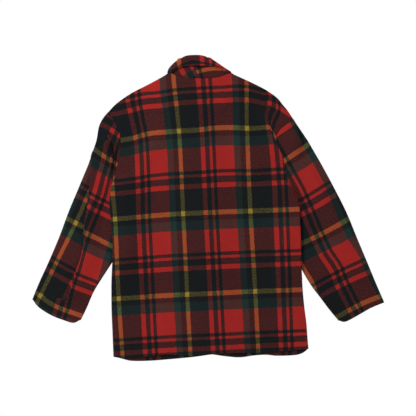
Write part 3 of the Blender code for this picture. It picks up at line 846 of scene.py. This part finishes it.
def wool_material(name):
    slot, tree = new_material(name)
    tree.nodes.clear()
    output = tree.nodes.new("ShaderNodeOutputMaterial")
    shader = tree.nodes.new("ShaderNodeBsdfPrincipled")
    place = tree.nodes.new("ShaderNodeUVMap")
    place.uv_map = "check"
    apart = tree.nodes.new("ShaderNodeSeparateXYZ")
    tree.links.new(place.outputs[0], apart.inputs[0])

    # Yarns wander a little, so the stripes have soft edges
    wander = node(tree, "ShaderNodeTexNoise", Scale=0.42, Detail=2.0, Roughness=0.6)
    tree.links.new(place.outputs[0], wander.inputs["Vector"])
    split = tree.nodes.new("ShaderNodeSeparateColor")
    tree.links.new(wander.outputs["Color"], split.inputs[0])
    s = around(tree, split.outputs[0], YARN_WANDER, apart.outputs[0])
    t = around(tree, split.outputs[1], YARN_WANDER, apart.outputs[1])
    warp = stripes(tree, s, WARP_REPEAT, WARP)
    weft = stripes(tree, t, WEFT_REPEAT, WEFT)

    # Twill and fulled wool: where warp or weft shows more
    flecks = node(tree, "ShaderNodeTexNoise", Scale=0.33, Detail=3.0, Roughness=0.7)
    tree.links.new(place.outputs[0], flecks.inputs["Vector"])
    twill = math_node(tree, "SINE", math_node(tree, "MULTIPLY", math_node(tree, "ADD", s, t), 2.6))
    share = around(tree, flecks.outputs["Fac"], 1.6, 0.5)
    share = math_node(tree, "MULTIPLY_ADD", twill, 0.09, share)
    share = math_node(tree, "MINIMUM", math_node(tree, "MAXIMUM", share, WARP_SHARE[0]), WARP_SHARE[1])
    one = tree.nodes.new("ShaderNodeGamma")
    tree.links.new(warp, one.inputs[0])
    tree.links.new(share, one.inputs[1])
    two = tree.nodes.new("ShaderNodeGamma")
    tree.links.new(weft, two.inputs[0])
    tree.links.new(math_node(tree, "SUBTRACT", 1.0, share), two.inputs[1])
    woven = tree.nodes.new("ShaderNodeMix")
    woven.data_type = "RGBA"
    woven.blend_type = "MULTIPLY"
    woven.inputs[0].default_value = 1.0
    tree.links.new(one.outputs[0], woven.inputs[6])
    tree.links.new(two.outputs[0], woven.inputs[7])

    # Felted surface: small light and dark specks, and a broad mottle
    specks = node(tree, "ShaderNodeTexNoise", Scale=0.34, Detail=3.0, Roughness=0.75)
    tree.links.new(place.outputs[0], specks.inputs["Vector"])
    mottle = node(tree, "ShaderNodeTexNoise", Scale=0.02, Detail=2.0, Roughness=0.5)
    tree.links.new(place.outputs[0], mottle.inputs["Vector"])
    light = around(tree, specks.outputs["Fac"], 1.05, 1.0)
    light = around(tree, mottle.outputs["Fac"], 0.25, light)
    shaded = tree.nodes.new("ShaderNodeVectorMath")
    shaded.operation = "SCALE"
    tree.links.new(woven.outputs[2], shaded.inputs[0])
    tree.links.new(light, shaded.inputs["Scale"])
    tree.links.new(shaded.outputs[0], shader.inputs["Base Color"])
    shader.inputs["Roughness"].default_value = 0.95
    shader.inputs["Specular IOR Level"].default_value = 0.08
    shader.inputs["Sheen Weight"].default_value = 0.015
    shader.inputs["Sheen Roughness"].default_value = 0.6

    bump = tree.nodes.new("ShaderNodeBump")
    bump.inputs["Strength"].default_value = 0.35
    bump.inputs["Distance"].default_value = 0.0006
    nap = math_node(tree, "MULTIPLY_ADD", twill, 0.2, specks.outputs["Fac"])
    tree.links.new(nap, bump.inputs["Height"])
    tree.links.new(bump.outputs[0], shader.inputs["Normal"])
    tree.links.new(shader.outputs[0], output.inputs[0])
    return slot


HORN_DARK = (0.010, 0.007, 0.006)
HORN_LIGHT = (0.040, 0.026, 0.020)
THREAD_DARK = (0.004, 0.004, 0.004)
THREAD_LIGHT = (0.016, 0.015, 0.014)


def grain_colour(tree, scale, dark, light):
    grain = node(tree, "ShaderNodeTexNoise", Scale=scale, Detail=4.0, Roughness=0.6)
    place = tree.nodes.new("ShaderNodeTexCoord")
    tree.links.new(place.outputs["Object"], grain.inputs["Vector"])
    ramp = tree.nodes.new("ShaderNodeValToRGB")
    ramp.color_ramp.elements[0].color = (*dark, 1)
    ramp.color_ramp.elements[1].color = (*light, 1)
    tree.links.new(grain.outputs["Fac"], ramp.inputs[0])
    return ramp.outputs[0]


def button_material(name):
    slot, tree = new_material(name)
    shader = tree.nodes["Principled BSDF"]
    shader.inputs["Roughness"].default_value = 0.35
    tree.links.new(grain_colour(tree, 160.0, HORN_DARK, HORN_LIGHT), shader.inputs["Base Color"])
    return slot


def thread_material(name):
    slot, tree = new_material(name)
    shader = tree.nodes["Principled BSDF"]
    shader.inputs["Roughness"].default_value = 0.9
    shader.inputs["Specular IOR Level"].default_value = 0.1
    tree.links.new(grain_colour(tree, 900.0, THREAD_DARK, THREAD_LIGHT), shader.inputs["Base Color"])
    return slot


def placed(points):
    """Places on the laid jacket in millimetres as world places in metres."""
    return [((x + MOVE_X) * MM, (y + MOVE_Y) * MM, z * MM) for x, y, z in points]


def new_object(name, data):
    obj = bpy.data.objects.new(name, data)
    bpy.context.scene.collection.objects.link(obj)
    return obj


def shell(name, rows, closed, slot, pick, outward_up=True, towards=0):
    """A cloth wall: the grid as an open surface, with the check picked for each face, made thick."""
    count = len(rows[0])
    points = placed([place for row in rows for place in row])
    faces = []
    values = []
    for j in range(len(rows) - 1):
        for i in range(count if closed else count - 1):
            corners = ((j, i), (j, (i + 1) % count), (j + 1, (i + 1) % count), (j + 1, i))
            if not outward_up:
                corners = corners[::-1]
            table = pick(j, i)
            faces.append([a * count + b for a, b in corners])
            values += [table[a][b] for a, b in corners]
    mesh = bpy.data.meshes.new(name)
    mesh.from_pydata(points, [], faces)
    layer = mesh.uv_layers.new(name="check")
    layer.data.foreach_set("uv", np.array(values, np.float32).ravel())
    mesh.update()
    mesh.shade_smooth()
    obj = new_object(name, mesh)
    mesh.materials.append(slot)
    wall = obj.modifiers.new("Cloth", "SOLIDIFY")
    wall.thickness = CLOTH * MM
    wall.offset = towards
    wall.use_rim = True
    wall.use_quality_normals = True
    rim = obj.modifiers.new("Rim", "BEVEL")
    rim.width = RIM * MM
    rim.segments = 2
    rim.limit_method = "ANGLE"
    rim.angle_limit = math.radians(50)
    return obj


def checks_of(rows, check):
    return [[check(x, y) for x, y, _ in row] for row in rows]


def only(rows, check):
    """The same check for every face."""
    table = checks_of(rows, check)
    return lambda j, i: table


ROPE_SIDES = 8


def rope(name, paths, radius, slot, level=(0.0, 0.0, 1.0)):
    """Thread along each path, its strands showing as a soft spiral; no path runs along level."""
    points = []
    faces = []
    for path in paths:
        path = np.array(path, float)
        ahead = np.gradient(path, axis=0)
        side = np.cross(ahead, level)
        side /= np.linalg.norm(side, axis=1, keepdims=True)
        over = np.cross(side, ahead)
        over /= np.linalg.norm(over, axis=1, keepdims=True)
        lengths = np.concatenate([[0], np.cumsum(np.linalg.norm(np.diff(path, axis=0), axis=1))])
        first = len(points)
        for number, place in enumerate(path):
            for k in range(ROPE_SIDES):
                turn = 2 * math.pi * k / ROPE_SIDES
                reach = radius * (1 + 0.15 * math.cos(2 * turn - lengths[number] / radius))
                out = side[number] * math.cos(turn) + over[number] * math.sin(turn)
                points.append(place + reach * out)
        for row in range(len(path) - 1):
            for k in range(ROPE_SIDES):
                a = first + row * ROPE_SIDES + k
                b = first + row * ROPE_SIDES + (k + 1) % ROPE_SIDES
                faces.append((a, a + ROPE_SIDES, b + ROPE_SIDES, b))
        last = first + (len(path) - 1) * ROPE_SIDES
        faces.append(tuple(range(first, first + ROPE_SIDES)))
        faces.append(tuple(range(last + ROPE_SIDES - 1, last - 1, -1)))
    mesh = bpy.data.meshes.new(name)
    mesh.from_pydata(placed(points), [], faces)
    mesh.update()
    mesh.shade_smooth()
    mesh.materials.append(slot)
    return new_object(name, mesh)


def armhole_path(run, sign):
    """Up the back's edge of the armhole, over the shoulder and down the front's."""
    count = int(np.linalg.norm(np.diff(run[1], axis=0), axis=1).sum() / THREAD)
    places = [on(run, t) + (sign * ARMHOLE_GAP / 2, 0) for t in np.linspace(0, 0.992, count)]
    up = [(x, y, back_height(x, y) - 0.1) for x, y in places]
    down = [(x, y, front_height(x, y, x > BUTTON_X) + 0.1) for x, y in places[::-1]]
    x, y, z = up[-1]
    return up + [(x, y + 1.2, z * 0.7 + down[0][2] * 0.3), (x, y + 1.2, z * 0.3 + down[0][2] * 0.7)] + down


def neck_path():
    parts = np.linspace(-0.97, 0.97, 180)
    places = [across_back(RINGS["seam"], part, (STAND_HIGH - STAND_LOW) / 2) for part in parts]
    return [(x, y - NECK_GAP / 2, STAND_HIGH + COLLAR_OFFSET - 0.1) for x, y in places]


# A button with its outer face down: radius and height of its profile, then its four holes
BUTTON_PROFILE = (
    (0.0, 0.8), (6.9, 0.8), (7.9, 0.5), (8.5, 0.12), (9.2, 0.0), (10.1, 0.15), (10.8, 0.7),
    (11.0, 1.5), (10.7, 2.4), (9.8, 3.0), (8.6, 3.2), (0.0, 3.2),
)
HOLE_RADIUS = 1.0
HOLE_PLACE = 1.9


def button_disc(name, y, slot):
    """The profile turned round, with four holes cut through it."""
    points = [(radius * MM, 0.0, height * MM) for radius, height in BUTTON_PROFILE]
    mesh = bpy.data.meshes.new(name)
    mesh.from_pydata(points, [(k, k + 1) for k in range(len(points) - 1)], [])
    obj = new_object(name, mesh)
    turned = obj.modifiers.new("Turned", "SCREW")
    turned.steps = 64
    turned.render_steps = 64
    turned.use_merge_vertices = True
    turned.merge_threshold = 0.00001
    turned.use_normal_calculate = True
    cutters = []
    for side_x in (-1, 1):
        for side_y in (-1, 1):
            bpy.ops.mesh.primitive_cylinder_add(
                vertices=20, radius=HOLE_RADIUS * MM, depth=3 * BUTTON_THICK * MM,
                location=(side_x * HOLE_PLACE * MM, side_y * HOLE_PLACE * MM, 0),
            )
            cutters.append(bpy.context.object)
            hole = obj.modifiers.new("Hole", "BOOLEAN")
            hole.object = cutters[-1]
    bpy.context.view_layer.update()
    evaluated = obj.evaluated_get(bpy.context.evaluated_depsgraph_get())
    finished = bpy.data.meshes.new_from_object(evaluated)
    obj.modifiers.clear()
    obj.data = finished
    finished.materials.clear()
    finished.materials.append(slot)
    for cutter in cutters:
        bpy.data.objects.remove(cutter, do_unlink=True)
    obj.location = ((BUTTON_X + MOVE_X) * MM, (y + MOVE_Y) * MM, 0)
    return obj


def button_loops(y):
    """Two loops of thread, each down one hole, across the dish and up the next."""
    loops = []
    for side in (-1, 1):
        loop = []
        for angle in range(0, 361, 15):
            turn = math.radians(angle)
            across = HOLE_PLACE * math.copysign(abs(math.cos(turn)) ** 0.5, math.cos(turn))
            height = 2.0 + 1.45 * math.copysign(abs(math.sin(turn)) ** 0.5, math.sin(turn))
            loop.append((BUTTON_X + side * HOLE_PLACE, y + across, height))
        loops.append(loop)
    return loops


wool = wool_material("wool_check")
horn = button_material("button_horn")
thread = thread_material("dark_thread")
pieces = {}

# Back panel
neck_first, neck_last = 0.379, 0.776
BACK_WIDTH = 500.0
FRONT_WIDTH = 260.0
edge = edge_columns(BACK_WIDTH)
left_columns = edge + [(u, 0.0) for u in np.linspace(0.016, 0.36, 24)]
middle_columns = [(neck_first + (neck_last - neck_first) * k / 24, 0.0) for k in range(25)]
right_columns = [(u, 0.0) for u in np.linspace(0.784, 0.988, 30)]
right_columns += [(1 - u, turned) for u, turned in edge[::-1]]


def back_top(u):
    if u < neck_first:
        return on(shoulder_left, u / neck_first)
    if u <= neck_last:
        return on(neck_back, (u - neck_first) / (neck_last - neck_first))
    return on(shoulder_right, (u - neck_last) / (1 - neck_last))


def back_shoulder(u):
    return 0.0 if neck_first < u < neck_last else 1.0


back = panel(
    left_columns + middle_columns + right_columns, lambda u: on(hem_back, u), back_top, left_run, right_run,
    back_height, lambda x, y: front_height(x, y, x > BUTTON_X), True, True, back_shoulder,
)
back_table = checks_of(back, back_check)
cap_table = checks_of(back, cap_check)


def pick_back(j, i):
    x, y = (np.array(back[j][i][:2]) + back[j + 1][i + 1][:2]) / 2
    return cap_table if in_cap(x, y) else back_table


pieces["back"] = shell("back_cloth", back, False, wool, pick_back)

# Front panels: from the side seam to an edge past the middle
side_neck = 0.62
neck_columns = [(side_neck + (1 - side_neck) * k / 12, 0.0) for k in range(13)]
front_columns = edge_columns(FRONT_WIDTH) + [(u, 0.0) for u in np.linspace(0.03, 0.59, 20)] + neck_columns
NECKLINE_OUT = 1.7
NECKLINE_DOWN = 1.6


def neckline(name, side, edge_x, out):
    """The collar's own seam places, moved out to the panel, and on past the middle."""
    seam = front_runs(RINGS["seam"], (STAND_HIGH - STAND_LOW) / 2)[name]
    places = [side]
    for part in (0.22, 0.46, 0.68, 0.86, 1):
        x, y = on(seam, part)
        places.append((x + out * NECKLINE_OUT, y - NECKLINE_DOWN))
    places.append((edge_x, places[-1][1]))
    return np.linspace(0, 1, 7), np.array(places, float)


neck_left = neckline("front_left", NECK_SIDES[0], LEFT_FRONT_EDGE, -1)
neck_right = neckline("front_right", NECK_SIDES[1], RIGHT_FRONT_EDGE, 1)


def front_shoulder(u):
    return 1.0 if u <= side_neck else 0.0


def left_top(u):
    if u <= side_neck:
        return on(shoulder_left, u / side_neck)
    return on(neck_left, (u - side_neck) / (1 - side_neck))


def right_top(u):
    if u <= side_neck:
        return on(shoulder_right, 1 - u / side_neck)
    return on(neck_right, (u - side_neck) / (1 - side_neck))


def straight_run(run_low, run_high):
    return lambda v: run_low + (run_high - run_low) * v


front_left = panel(
    front_columns, lambda u: on(hem_front_left, u), left_top, left_run,
    straight_run(on(hem_front_left, 1), on(neck_left, 1)),
    lambda x, y: front_height(x, y, False), back_height, True, False, front_shoulder,
)
pieces["front_left"] = shell(
    "front_left_cloth", front_left, False, wool, only(front_left, front_check), outward_up=False,
)
front_right = panel(
    front_columns, lambda u: on(hem_front_right, 1 - u), right_top, right_run,
    straight_run(on(hem_front_right, 0), on(neck_right, 1)),
    lambda x, y: front_height(x, y, True), back_height, True, False, front_shoulder,
)
pieces["front_right"] = shell(
    "front_right_cloth", front_right, False, wool, only(front_right, front_check),
)

# Sleeves
rows, pick = sleeve(
    ARMHOLE_LEFT, OUTER_LEFT, INNER_LEFT, CUFF_LEFT, FOLD_LINE_LEFT, FOLD_LEFT, SLEEVE_RELIEF_LEFT,
    -1, left_check,
)
pieces["sleeve_left"] = shell("sleeve_left_cloth", rows, True, wool, pick, outward_up=False)
rows, pick = sleeve(
    ARMHOLE_RIGHT, OUTER_RIGHT, INNER_RIGHT, CUFF_RIGHT, FOLD_LINE_RIGHT, FOLD_RIGHT, SLEEVE_RELIEF_RIGHT,
    1, right_check,
)
pieces["sleeve_right"] = shell("sleeve_right_cloth", rows, True, wool, pick)

# Collar
middle = collar()
outward = grid_normals(middle)
under = halves(lean(middle + outward * SEAM / 2))
for side, half, check in zip(("left", "right"), under, (under_left_check, under_right_check)):
    name = f"under_collar_{side}"
    pieces[name] = shell(f"{name}_cloth", half.tolist(), False, wool, only(half, check), towards=1)
upper = middle - outward * SEAM / 2
upper_table = top_collar_check(upper)
pieces["top_collar"] = shell(
    "top_collar_cloth", upper.tolist(), False, wool, lambda j, i: upper_table, towards=-1,
)

# Buttons
for number, y in enumerate(BUTTON_Y, 1):
    pieces[f"button_{number}"] = button_disc(f"button_disc_{number}", y, horn)

# Sewing: the armholes, the neck seam and the buttons
sewing = (
    rope("armhole_seam_left", [armhole_path(armhole_left, -1)], THREAD, thread),
    rope("armhole_seam_right", [armhole_path(armhole_right, 1)], THREAD, thread),
    rope("neck_seam", [neck_path()], THREAD, thread),
    rope(
        "button_thread", [loop for y in BUTTON_Y for loop in button_loops(y)], BUTTON_THREAD, thread,
        level=(1.0, 0.0, 0.0),
    ),
)
for piece in sewing:
    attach(piece, "root")

# What each piece stands for, and the size that its cloth was cut to
CUT_COLUMNS = ("width", "length", "area", "rests_on")
CUT = {
    "back": (0.53, 0.76, 0.353, ("front_left", "front_right", "sleeve_left", "sleeve_right")),
    "front_left": (0.30, 0.74, 0.194, ()),
    "front_right": (0.28, 0.74, 0.182, ("front_left",)),
    "sleeve_left": (0.40, 0.56, 0.138, ()),
    "sleeve_right": (0.40, 0.60, 0.150, ()),
    "top_collar": (0.48, 0.11, 0.039, ("back",)),
    "under_collar_left": (0.24, 0.10, 0.018, ("back",)),
    "under_collar_right": (0.24, 0.10, 0.018, ("back",)),
}
for name, piece in pieces.items():
    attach(piece, "root")
    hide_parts(name)
    if name.startswith("button"):
        continue
    cut = dict(zip(CUT_COLUMNS, CUT[name]))
    list(cut["rests_on"])

# Surface, light and camera
bpy.ops.mesh.primitive_plane_add(size=12, location=(0, 0, -0.0004))
floor = bpy.context.object
floor.name = "white_surface"
white, tree = new_material("white_surface")
tree.nodes.clear()
glow = tree.nodes.new("ShaderNodeEmission")
glow.inputs["Color"].default_value = (1, 1, 1, 1)
glow.inputs["Strength"].default_value = 1.0
tree.links.new(glow.outputs[0], tree.nodes.new("ShaderNodeOutputMaterial").inputs[0])
floor.data.materials.append(white)

scene = bpy.context.scene
scene.world = bpy.data.worlds.new("studio")
scene.world.use_nodes = True
sky = scene.world.node_tree.nodes["Background"]
sky.inputs["Color"].default_value = (1.0, 1.0, 1.0, 1)
sky.inputs["Strength"].default_value = 0.53
scene.view_settings.view_transform = "Standard"

KEY_PLACE = (-1.9, 1.5, 2.1)
x, y, z = KEY_PLACE
light = bpy.data.lights.new("key", "AREA")
light.shape = "DISK"
light.size = 0.9
light.energy = 70
key = new_object("key", light)
key.location = KEY_PLACE
key.rotation_euler = (math.atan2(math.hypot(x, y), z), 0, math.atan2(-x, y) + math.pi)

# The camera looks straight down on a field of this width, and is turned as the jacket lies in the photograph
CAMERA_HEIGHT = 3.0
JACKET_TOP = 0.01
VIEW_WIDTH = 1.120
view = bpy.data.cameras.new("view")
view.sensor_width = 36
view.lens = view.sensor_width * (CAMERA_HEIGHT - JACKET_TOP) / VIEW_WIDTH
camera = new_object("view", view)
camera.location = (MOVE_X * MM, MOVE_Y * MM, CAMERA_HEIGHT)
camera.rotation_euler = (0, 0, math.radians(-3))
scene.camera = camera
